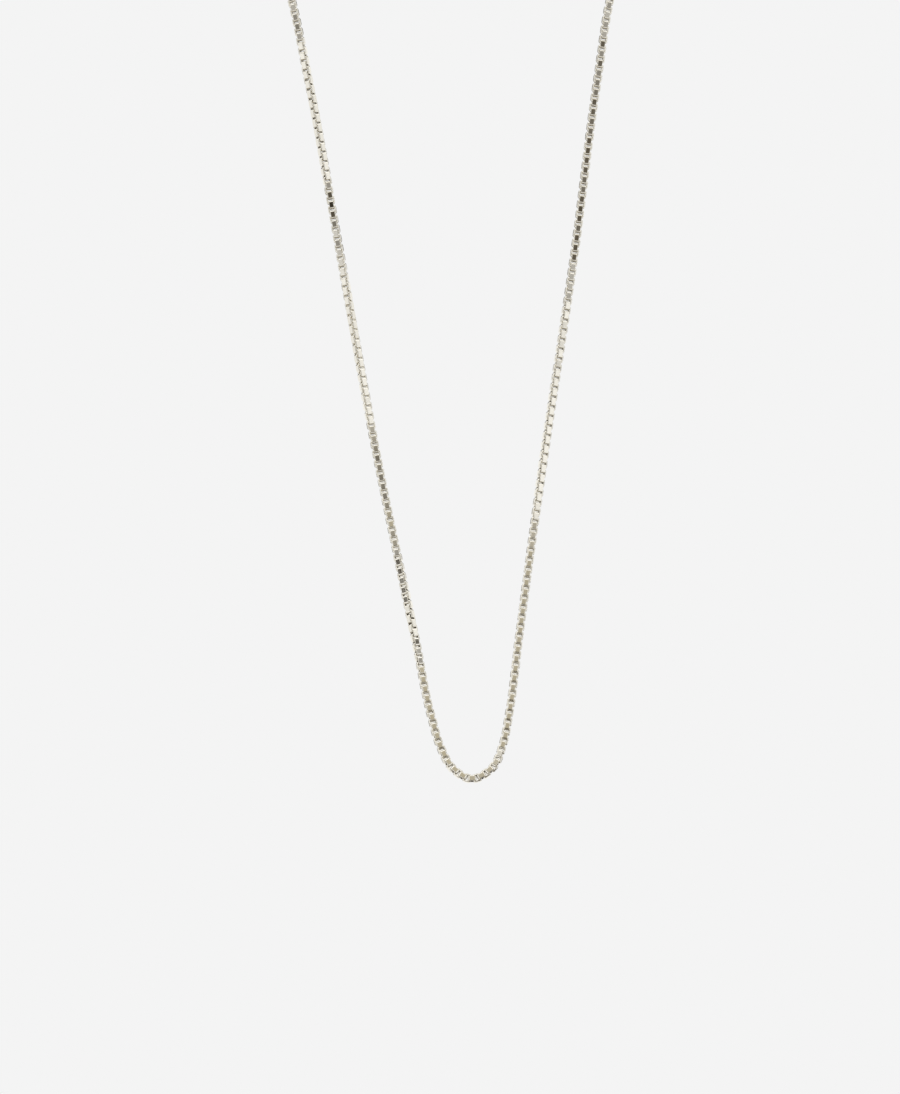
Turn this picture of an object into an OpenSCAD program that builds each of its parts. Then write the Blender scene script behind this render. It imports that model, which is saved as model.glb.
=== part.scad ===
// Necklace of box chain, worn as one long loop with a deep V in front.
// +Z is up, the front of the neck faces -Y, and the origin is at the back of the neck,
// where the fastening lies. The fastening runs along X, and the chain leaves it both ways.

/* [Chain] */
// Width across the chain
chain_w = 1.4; // [1.35:0.05:1.7]
// Length of one link along the chain
link_l = 1.5; // [1.46:0.02:1.8]
// Thickness of the flat strip that a link is folded from
strip_t = 0.3; // [0.26:0.01:0.34]
// Inside radius of a link's four folded corners
fold_r = 0.04; // [0.02:0.01:0.16]

/* [Jump rings] */
// Thickness of the wire of both jump rings
ring_wire = 0.5; // [0.4:0.01:0.5]
// Outside diameter of the jump ring between the chain and the clasp's eye
eye_ring_d = 3.2; // [3:0.1:5]
// Outside diameter of the jump ring that the clasp closes on
catch_ring_d = 4; // [3.6:0.1:6]

/* [Clasp] */
// Outside diameter of the clasp's round body
clasp_d = 6; // [5.6:0.1:8]
// Thickness of the clasp's round body
clasp_wire = 1.2; // [0.9:0.05:1.5]
// Diameter of the hole through the clasp's eye
eye_hole = 1; // [0.8:0.05:1.4]
// Thickness of the eye's wire
eye_wire = 0.6; // [0.5:0.05:0.8]
// Diameter of the thumb knob
knob_d = 0.9; // [0.6:0.05:1.1]
// Height of the thumb knob above the clasp's body
knob_h = 0.7; // [0.4:0.1:1.2]
// Angle of the thumb knob round the clasp, from the catch side
knob_angle = 50; // [40:5:140]

/* [Fit] */
// Gap where one piece hangs in the next
play = 0.06; // [0.04:0.01:0.08]
// Gap on each side of a strip that passes through its neighbour's hole
strip_play = 0.02; // [0.01:0.01:0.05]

/* [Hidden] */
$fn = 48;

silver = "#CFC8BA";

// A strip passes through its neighbour's hole, so the hole gives the strip's width
strip_w = chain_w - 2 * strip_t - 2 * strip_play;
link_hole = link_l - 2 * strip_t;

// The larger jump ring lies against the neck, which sets the middle line of the fastening off it
stand_off = max(catch_ring_d, eye_ring_d) / 2;
catch_ring_in = catch_ring_d / 2 - ring_wire;
eye_ring_in = eye_ring_d / 2 - ring_wire;

// Places along X, all pulled straight from the clasp outwards
catch_ring_x = clasp_d / 2 - clasp_wire - play + catch_ring_in;
eye_x = -clasp_d / 2 - eye_hole / 2;
eye_ring_x = eye_x - eye_hole / 2 + play - eye_ring_in;
right_link_x = catch_ring_x + bar_seat(catch_ring_in) - play + link_hole / 2;
left_link_x = eye_ring_x - bar_seat(eye_ring_in) + play - link_hole / 2;

// The neck's middle and the place where the chain comes to its front, along Y
neck_y = -48;
front_y = -91;

// The way of the chain from the catch ring round the right of the neck, down the front, round
// the bottom and back up the left. The front leans forward towards its lowest point.
route = [
    [20, -2, -0.5], [36, -13, -3], [45.5, -31, -9], [46, -51, -18],
    [40, -69, -30], [32, -84, -43], [27.8, -90, -54.9],
    [25.3, front_y, -70], [21.3, -92.5, -100.1], [16, -97, -135.1],
    [11.7, -104, -165.9], [10, -107.3, -178.7], [9, -108.6, -183.6],
    [7.1, -109.8, -187.7], [3.6, -110.3, -189.5], [0.4, -109.8, -187.7],
    [-1.5, -108.8, -184.4], [-3.1, -107.4, -179.2], [-5.9, -104, -165.9],
    [-12.4, -97, -135.1], [-18.8, -92.5, -100.1], [-24.3, front_y, -70],
    [-27.6, -90, -54.9], [-32, -84, -43], [-40, -69, -30],
    [-46, -51, -18], [-45.5, -31, -9], [-36, -13, -3], [-20, -2, -0.5]
];
knots = concat(
    [[right_link_x + link_hole / 2, stand_off, 0]],
    route,
    [[left_link_x - link_hole / 2, stand_off, 0]]
);
last = len(knots) - 1;

// The tube has eight flat sides, each chain_w / 2 from its middle line
sides = 8;
tube_r = chain_w / 2 / cos(180 / sides);
// Longest stretch between two rings of the tube
ring_step = 8;

// How far from its centre a jump ring's inside holds a flat bar of the strip's width
function bar_seat(inside) = sqrt(inside * inside - strip_w * strip_w / 4);

function unit(v) = v / norm(v);
function chord(i) = norm(knots[i + 1] - knots[i]);
function heading(i) = (knots[i + 1] - knots[i]) / chord(i);

// The chain leaves and meets the fastening along X
function tangent(i) =
    i == 0 || i == last ? [1, 0, 0]
    : unit(heading(i - 1) * chord(i) + heading(i) * chord(i - 1));

// Point at the share u of the stretch from knot i to the next
function spot(i, u) =
    knots[i] * (1 + u * u * (2 * u - 3))
    + knots[i + 1] * u * u * (3 - 2 * u)
    + chord(i) * u * (1 - u) * (tangent(i) * (1 - u) - tangent(i + 1) * u);

function stretch_rings(i) = max(2, round(chord(i) / ring_step));

// Away from the neck: straight ahead at the front, sideways at the sides
function outward(p) =
    unit([p.x * max(0, p.y - front_y) / (neck_y - front_y), p.y - neck_y, 0]);
function across(p, along) = unit(outward(p) - along * (outward(p) * along));

function tube_ring(p, along) =
    let (a = across(p, along), b = cross(along, a))
    [for (k = [0 : sides - 1]) p + tube_r * (a * cos(360 * k / sides) + b * sin(360 * k / sides))];

// One closed solid through all the spots, with the two end faces last
module tube(spots) {
    ends = len(spots) - 1;
    rings = [
        for (j = [0 : ends])
            tube_ring(
                spots[j],
                j == 0 || j == ends ? [1, 0, 0] : unit(spots[j + 1] - spots[j - 1])
            )
    ];
    walls = [
        for (j = [0 : ends - 1], k = [0 : sides - 1])
            let (a = j * sides + k, b = j * sides + (k + 1) % sides)
            each [[a, a + sides, b], [b, a + sides, b + sides]]
    ];
    near_end = [for (k = [0 : sides - 1]) k];
    far_end = [for (k = [sides - 1 : -1 : 0]) ends * sides + k];
    polyhedron([for (ring = rings) each ring], concat(walls, [near_end, far_end]));
}

module rounded_rectangle(size, r) {
    square([size.x - 2 * r, size.y], center = true);
    square([size.x, size.y - 2 * r], center = true);
    for (sx = [-1, 1], sy = [-1, 1])
        translate([sx * (size.x / 2 - r), sy * (size.y / 2 - r)])
            circle(r);
}

// A link folded from flat strip, lying along X with its hole along Y
module link() {
    rotate([90, 0, 0])
        linear_extrude(strip_w, center = true)
            difference() {
                rounded_rectangle([link_l, chain_w], fold_r + strip_t);
                rounded_rectangle([link_hole, chain_w - 2 * strip_t], fold_r);
            }
}

// A round ring of round wire, lying flat in X and Y
module wire_ring(outside_d, wire) {
    rotate_extrude()
        translate([(outside_d - wire) / 2, 0])
            circle(wire / 2);
}

// The whole chain in its outer form, with the last link at each end left open for its jump ring
module box_chain() {
    color(silver) {
        tube([for (i = [0 : last - 1], n = stretch_rings(i), k = [0 : n - 1]) spot(i, k / n), knots[last]]);
        for (x = [right_link_x, left_link_x])
            translate([x, stand_off, 0])
                link();
    }
}

module eye_ring() {
    color(silver)
        translate([eye_ring_x, stand_off, 0])
            wire_ring(eye_ring_d, ring_wire);
}

module catch_ring() {
    color(silver)
        translate([catch_ring_x, stand_off, 0])
            wire_ring(catch_ring_d, ring_wire);
}

// Closed spring-ring clasp as one plain piece: round body, eye and thumb knob
module clasp() {
    color(silver)
        translate([0, stand_off, 0])
            rotate([90, 0, 0]) {
                wire_ring(clasp_d, clasp_wire);
                translate([eye_x, 0, 0])
                    wire_ring(eye_hole + 2 * eye_wire, eye_wire);
                rotate([0, 0, knob_angle])
                    translate([(clasp_d - clasp_wire) / 2, 0, 0])
                        rotate([0, 90, 0])
                            cylinder(h = clasp_wire / 2 + knob_h, d = knob_d);
            }
}

box_chain();
eye_ring();
clasp();
catch_ring();
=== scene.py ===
import math
import random

import bmesh
import bpy
from mathutils import Matrix, Vector


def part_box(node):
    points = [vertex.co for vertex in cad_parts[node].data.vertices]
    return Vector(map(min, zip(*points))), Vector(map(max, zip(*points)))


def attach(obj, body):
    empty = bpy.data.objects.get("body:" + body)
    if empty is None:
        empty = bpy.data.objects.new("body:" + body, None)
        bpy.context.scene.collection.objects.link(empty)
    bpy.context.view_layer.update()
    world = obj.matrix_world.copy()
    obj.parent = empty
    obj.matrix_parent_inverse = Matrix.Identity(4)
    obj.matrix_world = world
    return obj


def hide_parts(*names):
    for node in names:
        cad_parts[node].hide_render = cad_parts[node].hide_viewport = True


# Box chain necklace: a long loop of square folded links, twisted slowly along its way,
# closed at the back by a spring-ring clasp and two jump rings.

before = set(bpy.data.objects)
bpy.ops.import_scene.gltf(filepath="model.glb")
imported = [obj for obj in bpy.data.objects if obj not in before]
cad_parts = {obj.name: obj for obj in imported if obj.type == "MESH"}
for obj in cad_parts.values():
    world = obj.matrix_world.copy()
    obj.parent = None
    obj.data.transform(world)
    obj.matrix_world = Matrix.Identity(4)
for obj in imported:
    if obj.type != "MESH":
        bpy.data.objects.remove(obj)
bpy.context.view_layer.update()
random.seed(11)
mm = 0.001


# sRGB hex to the linear colour that the shaders take, with full alpha
def toLinear(hexColour):
    levels = [int(hexColour[i : i + 2], 16) / 255 for i in (1, 3, 5)]
    return [v / 12.92 if v <= 0.04045 else ((v + 0.055) / 1.055) ** 2.4 for v in levels] + [1]


def addNode(tree, kind, settings=None, values=None, links=None):
    node = tree.nodes.new(kind)
    for name, value in (settings or {}).items():
        setattr(node, name, value)
    for name, value in (values or {}).items():
        node.inputs[name].default_value = value
    for name, socket in (links or {}).items():
        tree.links.new(socket, node.inputs[name])
    return node


def addObject(name, data):
    thing = bpy.data.objects.new(name, data)
    bpy.context.scene.collection.objects.link(thing)
    return thing


# From 0 to 1, gently at both ends
def ease(u):
    return u * u * (3 - 2 * u)


# The camera stands straight in front of the strands, as far off as a product camera with a
# long lens. The chain is a little over eight pixels wide.
camera = {
    "pixel": 0.1714 * mm,
    "framePixelsHigh": 1094,
    "distance": 1.5,
    "sensorWidth": 36,
    "frameTop": -56.5 * mm,       # height at which the strands leave the frame
    "chainPlane": -91 * mm,       # along Y
}

print("camera")
frameHeight = camera["framePixelsHigh"] * camera["pixel"]
cameraData = bpy.data.cameras.new("camera")
cameraData.sensor_width = camera["sensorWidth"]
cameraData.lens = camera["sensorWidth"] * camera["distance"] / frameHeight
cameraObject = addObject("camera", cameraData)
cameraObject.location = (
    0,
    camera["chainPlane"] - camera["distance"],
    camera["frameTop"] - frameHeight / 2,
)
cameraObject.rotation_euler = (math.pi / 2, 0, 0)
bpy.context.scene.camera = cameraObject


# Sterling silver with a warm cast, drawn into flat strip, folded and tumbled bright: sharp
# reflections on the faces, broader ones on the worn edges, and the hole walls inside the links
# darkened to brown: partly tarnish, partly painted shade.
silver = {
    "bright": "#F8F4EA",
    "dull": "#F0ECE0",
    # Brown of the hole walls inside the links: partly tarnish, partly painted shade
    "tarnishAndShade": "#5F5748",
    "roughness": (0.08, 0.2),
    "cloudSize": 0.5 * mm,        # faint clouds in tone and gloss, as the tumbling leaves them
    "cloudDetail": 3,
    "cloudRoughness": 0.6,
    "markSize": 0.06 * mm,        # fine marks of the tumbling, as coarse as the render can show
    "markDetail": 2,
    "markDepth": 0.002 * mm,
    "markStrength": 0.15,
}


def tumbledSilver(name, tarnishAndShadeInside):
    material = bpy.data.materials.new(name)
    material.use_nodes = True
    tree = material.node_tree
    shader = tree.nodes["Principled BSDF"]
    shader.inputs["Metallic"].default_value = 1
    place = addNode(tree, "ShaderNodeTexCoord")
    clouds = addNode(
        tree, "ShaderNodeTexNoise",
        values={
            "Scale": 1 / silver["cloudSize"],
            "Detail": silver["cloudDetail"],
            "Roughness": silver["cloudRoughness"],
        },
        links={"Vector": place.outputs["Object"]},
    )
    marks = addNode(
        tree, "ShaderNodeTexNoise",
        values={"Scale": 1 / silver["markSize"], "Detail": silver["markDetail"]},
        links={"Vector": place.outputs["Object"]},
    )
    tone = addNode(
        tree, "ShaderNodeMix",
        settings={"data_type": "RGBA"},
        values={"A": toLinear(silver["bright"]), "B": toLinear(silver["dull"])},
        links={"Factor": clouds.outputs["Fac"]},
    )
    colour = tone.outputs["Result"]
    # The hole walls, marked by the recess attribute, are mixed towards brown: tarnish and painted
    # shade
    if tarnishAndShadeInside:
        recess = addNode(tree, "ShaderNodeAttribute", settings={"attribute_name": "recess"})
        inside = addNode(
            tree, "ShaderNodeMix",
            settings={"data_type": "RGBA"},
            values={"B": toLinear(silver["tarnishAndShade"])},
            links={"Factor": recess.outputs["Fac"], "A": colour},
        )
        colour = inside.outputs["Result"]
    tree.links.new(colour, shader.inputs["Base Color"])
    sharp, soft = silver["roughness"]
    gloss = addNode(
        tree, "ShaderNodeMapRange",
        values={"To Min": sharp, "To Max": soft},
        links={"Value": clouds.outputs["Fac"]},
    )
    tree.links.new(gloss.outputs["Result"], shader.inputs["Roughness"])
    bump = addNode(
        tree, "ShaderNodeBump",
        values={"Strength": silver["markStrength"], "Distance": silver["markDepth"]},
        links={"Height": marks.outputs["Fac"]},
    )
    tree.links.new(bump.outputs["Normal"], shader.inputs["Normal"])
    return material


# The sizes are the real chain's, as in its solids; the pitch is that of the photo's links.
chain = {
    "width": 1.4 * mm,
    "linkLength": 1.5 * mm,
    "stripThickness": 0.3 * mm,
    "stripPlay": 0.02 * mm,       # gap on each side of a strip in its neighbour's hole
    "foldRadius": 0.04 * mm,      # inside a folded corner
    "edgeRound": 0.06 * mm,       # how far the tumbling has worn the strip's outer edges
    "pitch": 0.84 * mm,
    "hangPlay": 0.06 * mm,        # gap where one piece hangs in the next
    "unevenTurn": 1.6,            # how far single links stray from the twist, in degrees
    "neckMiddle": -48 * mm,       # along Y, as the next is
    "front": -91 * mm,
    "waySteps": 60,               # short steps that the way from one point to the next is cut into
}

# The strip is as wide as its neighbour's hole lets through
stripWidth = chain["width"] - 2 * (chain["stripThickness"] + chain["stripPlay"])

# The way of the chain in millimetres, from the catch ring round the right of the neck, down
# the front, round the bottom and back up the left. The front leans forward as it goes down.
routePoints = [
    (20, -2, -0.5), (36, -13, -3), (45.5, -31, -9), (46, -51, -18),
    (40, -69, -30), (32, -84, -43), (27.8, -90, -54.9),
    (25.3, -91, -70), (21.3, -92.5, -100.1), (16, -97, -135.1),
    (11.7, -104, -165.9), (10, -107.3, -178.7), (9, -108.6, -183.6),
    (7.1, -109.8, -187.7), (3.6, -110.3, -189.5), (0.4, -109.8, -187.7),
    (-1.5, -108.8, -184.4), (-3.1, -107.4, -179.2), (-5.9, -104, -165.9),
    (-12.4, -97, -135.1), (-18.8, -92.5, -100.1), (-24.3, -91, -70),
    (-27.6, -90, -54.9), (-32, -84, -43), (-40, -69, -30),
    (-46, -51, -18), (-45.5, -31, -9), (-36, -13, -3), (-20, -2, -0.5),
]

# Slow twist of the chain: distance from the catch ring in millimetres, turn in degrees.
# At 0 and 90 every other link shows its flat side to the front, at 45 a corner.
twist = [
    # Round the right of the neck to the top of the frame, at 138
    (0, 0), (120, 80),
    # Down the right strand
    (139, 83), (150, 83), (162, 85), (182, 85), (188, 80), (193, 76), (205, 75), (209, 71),
    (224, 71), (228, 79), (232, 86), (240, 88), (268, 88),
    # Round the lowest point, at 277
    (272, 100), (276, 107), (281, 107), (286, 98), (297, 96),
    # Up the left strand to the top of the frame, at 417
    (301, 107), (305, 113), (308, 132), (310.5, 157), (315, 163), (319.4, 167), (320.8, 183),
    (324, 184), (328, 183), (338, 184), (342, 190), (345, 198), (350, 205), (356, 215),
    (361, 224), (366, 243), (371, 258), (379.4, 263), (380.6, 269), (383.4, 273), (385, 281),
    (387, 298), (392, 308), (398, 312), (403, 327), (409, 341), (411.5, 352), (416, 352),
    # Round the left of the neck
    (556, 360),
]

# Painted shade and tarnish inside the links, from 0 for bright to 1 for brown, by distance as
# above; it varies along the chain to darken the gaps between the links where they fall in shade
tarnishAndShade = [
    (0, 0.65), (225, 0.65), (235, 1), (325, 1), (335, 0.65), (343, 0), (360, 0), (385, 0.65),
    (556, 0.65),
]


# Square link, lying along X with its hole along Y: a block rounded along Y, its rims worn,
# then opened from both sides, which are its only faces with more than four corners.
def makeLink():
    bm = bmesh.new()
    bmesh.ops.create_cube(bm, size=1)
    bmesh.ops.scale(bm, vec=(chain["linkLength"], stripWidth, chain["width"]), verts=bm.verts)
    folds = [e for e in bm.edges if abs(e.verts[0].co.y - e.verts[1].co.y) > stripWidth / 2]
    bmesh.ops.bevel(
        bm, geom=folds, offset=chain["foldRadius"] + chain["stripThickness"], offset_type="OFFSET",
        affect="EDGES", segments=2, profile=0.5, material=-1,
    )
    rims = [e for f in bm.faces if len(f.verts) > 4 for e in f.edges]
    bmesh.ops.bevel(
        bm, geom=rims, offset=chain["edgeRound"], offset_type="OFFSET",
        affect="EDGES", segments=1, profile=0.5, material=-1,
    )
    sides = [f for f in bm.faces if len(f.verts) > 4]
    bmesh.ops.inset_region(
        bm, faces=sides, thickness=chain["stripThickness"] - chain["edgeRound"],
        use_even_offset=True, use_boundary=True,
    )
    sides = [f for f in bm.faces if len(f.verts) > 4]
    hole = [e for f in sides for e in f.edges]
    bmesh.ops.delete(bm, geom=sides, context="FACES_ONLY")
    bmesh.ops.bridge_loops(bm, edges=hole)
    bmesh.ops.recalc_face_normals(bm, faces=bm.faces)
    for face in bm.faces:
        face.smooth = True
    mesh = bpy.data.meshes.new("link")
    bm.to_mesh(mesh)
    bm.free()
    return mesh


# The strip's flat sides mirror as planes and its worn edges bend the light: a corner takes its
# normal from the largest flat side at it, or else from the worn edge, or else from all round.
def wornNormals(link):
    edgeLean = (0.1, 0.9)         # least and most share of Y in the normal of a worn edge
    sameArea = 0.01               # areas that differ by a smaller share count as equal
    found = [
        {"flat": (0, Vector()), "edge": (0, Vector()), "rest": (0, Vector())}
        for _ in link.vertices
    ]
    for face in link.polygons:
        outside = face.normal.x * face.center.x + face.normal.z * face.center.z > 0
        lean = abs(face.normal.y)
        kind = "rest"
        if edgeLean[0] < lean < edgeLean[1]:
            kind = "edge"
        elif lean < edgeLean[0] and outside:
            kind = "flat"
        area = face.area if kind == "flat" else 1
        for corner in face.vertices:
            largest, normal = found[corner][kind]
            if area > (1 + sameArea) * largest:
                found[corner][kind] = (area, face.normal.copy())
            elif area > (1 - sameArea) * largest:
                found[corner][kind] = (area, normal + face.normal)
    normals = []
    for corner in found:
        kind = next(kind for kind in ("flat", "edge", "rest") if corner[kind][0])
        normals.append(corner[kind][1].normalized())
    return normals


# Where the first and last links hang in the jump rings, pulled straight
def endLinkPlace(ring, side):
    low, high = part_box(ring)
    wire = high.z - low.z
    ringInside = (high.x - low.x) / 2 - wire
    # How far from its middle the ring's inside holds a flat bar as wide as the strip
    barSeat = math.sqrt(ringInside**2 - stripWidth**2 / 4)
    linkHole = chain["linkLength"] - 2 * chain["stripThickness"]
    middle = (low + high) / 2
    return middle + Vector((side * (barSeat - chain["hangPlay"] + linkHole / 2), 0, 0))


# Smooth way through the knots, as the chain's solid has it
def smoothWay(knots):
    steps = chain["waySteps"]
    legs = [after - before for before, after in zip(knots, knots[1:])]
    leans = [Vector((1, 0, 0))]
    for before, after in zip(legs, legs[1:]):
        lean = before * (after.length / before.length) + after * (before.length / after.length)
        leans.append(lean.normalized())
    leans.append(Vector((1, 0, 0)))
    way = []
    for i, leg in enumerate(legs):
        for u in (step / steps for step in range(steps)):
            bow = u * (1 - u) * leg.length * (leans[i] * (1 - u) - leans[i + 1] * u)
            way.append(knots[i].lerp(knots[i + 1], ease(u)) + bow)
    way.append(knots[-1])
    return way


# Distance from the first and place of each link, as near to the pitch apart as comes out even
def evenPlaces(way, pitch):
    reach = [0]
    for before, after in zip(way, way[1:]):
        reach.append(reach[-1] + (after - before).length)
    # An odd number, so that both end links have their holes facing the same way
    count = 2 * round(reach[-1] / pitch / 2) + 1
    places = []
    j = 0
    for k in range(count):
        wanted = reach[-1] * k / (count - 1)
        while j < len(way) - 2 and reach[j + 1] < wanted:
            j += 1
        share = (wanted - reach[j]) / (reach[j + 1] - reach[j])
        places.append((wanted, way[j].lerp(way[j + 1], share)))
    return places


# Value at a distance from the catch ring, eased between the entries of a table
def valueAt(table, distance):
    for (near, nearValue), (far, farValue) in zip(table, table[1:]):
        if distance <= far * mm:
            u = (distance / mm - near) / (far - near)
            return nearValue + (farValue - nearValue) * ease(u)
    return table[-1][1]


# Away from the neck: straight ahead at the front, sideways at the sides
def outward(place, along):
    depth = max(0, place.y - chain["front"]) / (chain["neckMiddle"] - chain["front"])
    away = Vector((place.x * depth, place.y - chain["neckMiddle"], 0))
    return (away - along * away.dot(along)).normalized()


# Each link is turned a quarter against the one before it, on top of the twist
def linkPlacement(places, k):
    distance, place = places[k]
    ends = (0, len(places) - 1)
    along = Vector((1, 0, 0))
    if k not in ends:
        along = (places[k + 1][1] - places[k - 1][1]).normalized()
    across = outward(place, along)
    stray = 0 if k in ends else random.gauss(0, chain["unevenTurn"])
    turn = math.radians(valueAt(twist, distance) + 90 * (k % 2) + stray)
    hole = math.cos(turn) * across + math.sin(turn) * along.cross(across)
    turned = Matrix((along, hole, along.cross(hole))).transposed()
    return Matrix.Translation(place) @ turned.to_4x4()


def makeChain():
    knots = [endLinkPlace("catch_ring", 1)]
    knots += [Vector(point) * mm for point in routePoints]
    knots += [endLinkPlace("eye_ring", -1)]
    places = evenPlaces(smoothWay(knots), chain["pitch"])
    link = makeLink()
    # The hole's walls face the middle of the link
    recess = [float(f.normal.x * f.center.x + f.normal.z * f.center.z < 0) for f in link.polygons]
    worn = wornNormals(link)
    normals = []
    bm = bmesh.new()
    for k in range(len(places)):
        placement = linkPlacement(places, k)
        normals += [placement.to_3x3() @ normal for normal in worn]
        copy = link.copy()
        copy.transform(placement)
        bm.from_mesh(copy)
        bpy.data.meshes.remove(copy)
    bpy.data.meshes.remove(link)
    mesh = bpy.data.meshes.new("boxChainLinks")
    bm.to_mesh(mesh)
    bm.free()
    # The hole walls take the painted shade and tarnish, by distance along the chain
    shade = mesh.attributes.new("recess", "FLOAT", "FACE")
    shade.data.foreach_set(
        "value", [valueAt(tarnishAndShade, distance) * wall for distance, _ in places for wall in recess],
    )
    mesh.normals_split_custom_set_from_vertices(normals)
    print(len(places), "links of", len(recess), "faces,", round(places[-1][0] / mm), "mm")
    return mesh


print("chain")
boxChain = addObject("boxChainLinks", makeChain())
boxChain.data.materials.append(tumbledSilver("tumbledSilverLinks", True))
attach(boxChain, "root")
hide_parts("box_chain")

print("fastening")
fasteningSilver = tumbledSilver("tumbledSilverFastening", False)
for name in ("clasp", "eye_ring", "catch_ring"):
    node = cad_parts[name]
    node.data.materials.clear()
    node.data.materials.append(fasteningSilver)

# Studio of one pale colour all round. Only the metal mirrors the rest: white cards at the sides
# and above, a duller table top, the opening in front and behind where a camera stands, the duller
# gap above it, a few dark stands and their arms, and a small mat under the right strand.
studio = {
    "paleColour": "#F4F4F4",
    "floorSize": (8, 8),
    "floorMiddle": (0, 0, -0.45),
    "matColour": "#6A6255",
    "matSize": (28 * mm, 70 * mm),
    "matMiddle": (20 * mm, -135 * mm, -199 * mm),
    "wallColour": "#FFFFFF",
    # zone: colour, brightness, degrees to the right of straight ahead, degrees up, and the two
    # distances from that middle, in degrees, between which the zone fades in
    "zones": {
        "rightCard": ("#FFFFFF", 0.9, 90, 0, 49, 18),
        "leftCard": ("#FFFFFF", 0.9, -90, 0, 49, 18),
        "topCard": ("#FFFFFF", 1.3, 0, 90, 49, 32),
        "tableTop": ("#948B7C", 1.0, 0, -90, 52, 30),
        "opening": ("#5C5549", 1.0, 0, 6, 34, 9),
        "upperGap": ("#BCB5A2", 1.0, 12, 38, 17, 13),
        "lens": ("#2A261F", 1.0, 0, 6, 8, 3),
        "leftStand": ("#1E1B16", 1.0, -25, 21, 5, 3.5),
        "leftArm": ("#4A443A", 1.0, -34, 19, 7, 5),
        "leftCorner": ("#4A443A", 1.0, -45, 15, 6, 4.5),
        "rightArm": ("#4A443A", 1.0, 41, 30.6, 7, 5),
    },
}


def makeStudio():
    world = bpy.data.worlds.new("studio")
    bpy.context.scene.world = world
    world.use_nodes = True
    tree = world.node_tree
    tree.nodes.clear()
    # The half behind the neck is the same as the half in front
    place = addNode(tree, "ShaderNodeTexCoord")
    way = addNode(tree, "ShaderNodeSeparateXYZ", links={"Vector": place.outputs["Generated"]})
    ahead = addNode(
        tree, "ShaderNodeMath", settings={"operation": "ABSOLUTE"}, links={0: way.outputs["Y"]},
    )
    folded = addNode(
        tree, "ShaderNodeCombineXYZ",
        links={"X": way.outputs["X"], "Y": ahead.outputs["Value"], "Z": way.outputs["Z"]},
    )
    walls = addNode(tree, "ShaderNodeRGB")
    walls.outputs["Color"].default_value = toLinear(studio["wallColour"])
    glow = walls.outputs["Color"]
    for hexColour, brightness, right, up, outer, inner in studio["zones"].values():
        right, up, outer, inner = (math.radians(angle) for angle in (right, up, outer, inner))
        middle = (math.sin(right) * math.cos(up), math.cos(right) * math.cos(up), math.sin(up))
        near = addNode(
            tree, "ShaderNodeVectorMath",
            settings={"operation": "DOT_PRODUCT"}, values={1: middle},
            links={0: folded.outputs["Vector"]},
        )
        share = addNode(
            tree, "ShaderNodeMapRange",
            settings={"interpolation_type": "SMOOTHSTEP"},
            values={"From Min": math.cos(outer), "From Max": math.cos(inner)},
            links={"Value": near.outputs["Value"]},
        )
        glow = addNode(
            tree, "ShaderNodeMix",
            settings={"data_type": "RGBA"},
            values={"B": [level * brightness for level in toLinear(hexColour)[:3]] + [1]},
            links={"Factor": share.outputs["Result"], "A": glow},
        ).outputs["Result"]
    # The pale colour is what shows behind the chain, the studio what the metal mirrors
    ray = addNode(tree, "ShaderNodeLightPath")
    mirrored = addNode(tree, "ShaderNodeBackground", links={"Color": glow})
    pale = addNode(tree, "ShaderNodeBackground", values={"Color": toLinear(studio["paleColour"])})
    seen = addNode(
        tree, "ShaderNodeMixShader",
        links={
            0: ray.outputs["Is Camera Ray"],
            1: mirrored.outputs["Background"],
            2: pale.outputs["Background"],
        },
    )
    addNode(tree, "ShaderNodeOutputWorld", links={"Surface": seen.outputs["Shader"]})


# Level sheet of one even tone, for the metal to mirror or the camera to see
def laySheet(name, size, middle, finish, hexColour):
    bm = bmesh.new()
    bmesh.ops.create_grid(bm, x_segments=1, y_segments=1, size=0.5)
    bmesh.ops.scale(bm, vec=(*size, 1), verts=bm.verts)
    bmesh.ops.translate(bm, vec=middle, verts=bm.verts)
    mesh = bpy.data.meshes.new(name)
    bm.to_mesh(mesh)
    bm.free()
    sheet = addObject(name, mesh)
    material = bpy.data.materials.new(finish)
    material.use_nodes = True
    shader = material.node_tree.nodes["Principled BSDF"]
    # It glows evenly and takes no light or shade
    shader.inputs["Base Color"].default_value = (0, 0, 0, 1)
    shader.inputs["Emission Color"].default_value = toLinear(hexColour)
    shader.inputs["Emission Strength"].default_value = 1
    shader.inputs["Specular IOR Level"].default_value = 0
    sheet.data.materials.append(material)
    return sheet


print("studio")
makeStudio()
floor = laySheet(
    "floor", studio["floorSize"], studio["floorMiddle"], "paleSeamlessPaper", studio["paleColour"],
)
# The metal mirrors the studio's duller table top in its place
floor.visible_glossy = False
# The folds of the lower links mirror it as the dark arcs between the links
mat = laySheet("mat", studio["matSize"], studio["matMiddle"], "greyFelt", studio["matColour"])
mat.visible_camera = False
# Plain view, so that the pale colour comes out as it is given
bpy.context.scene.view_settings.view_transform = "Standard"
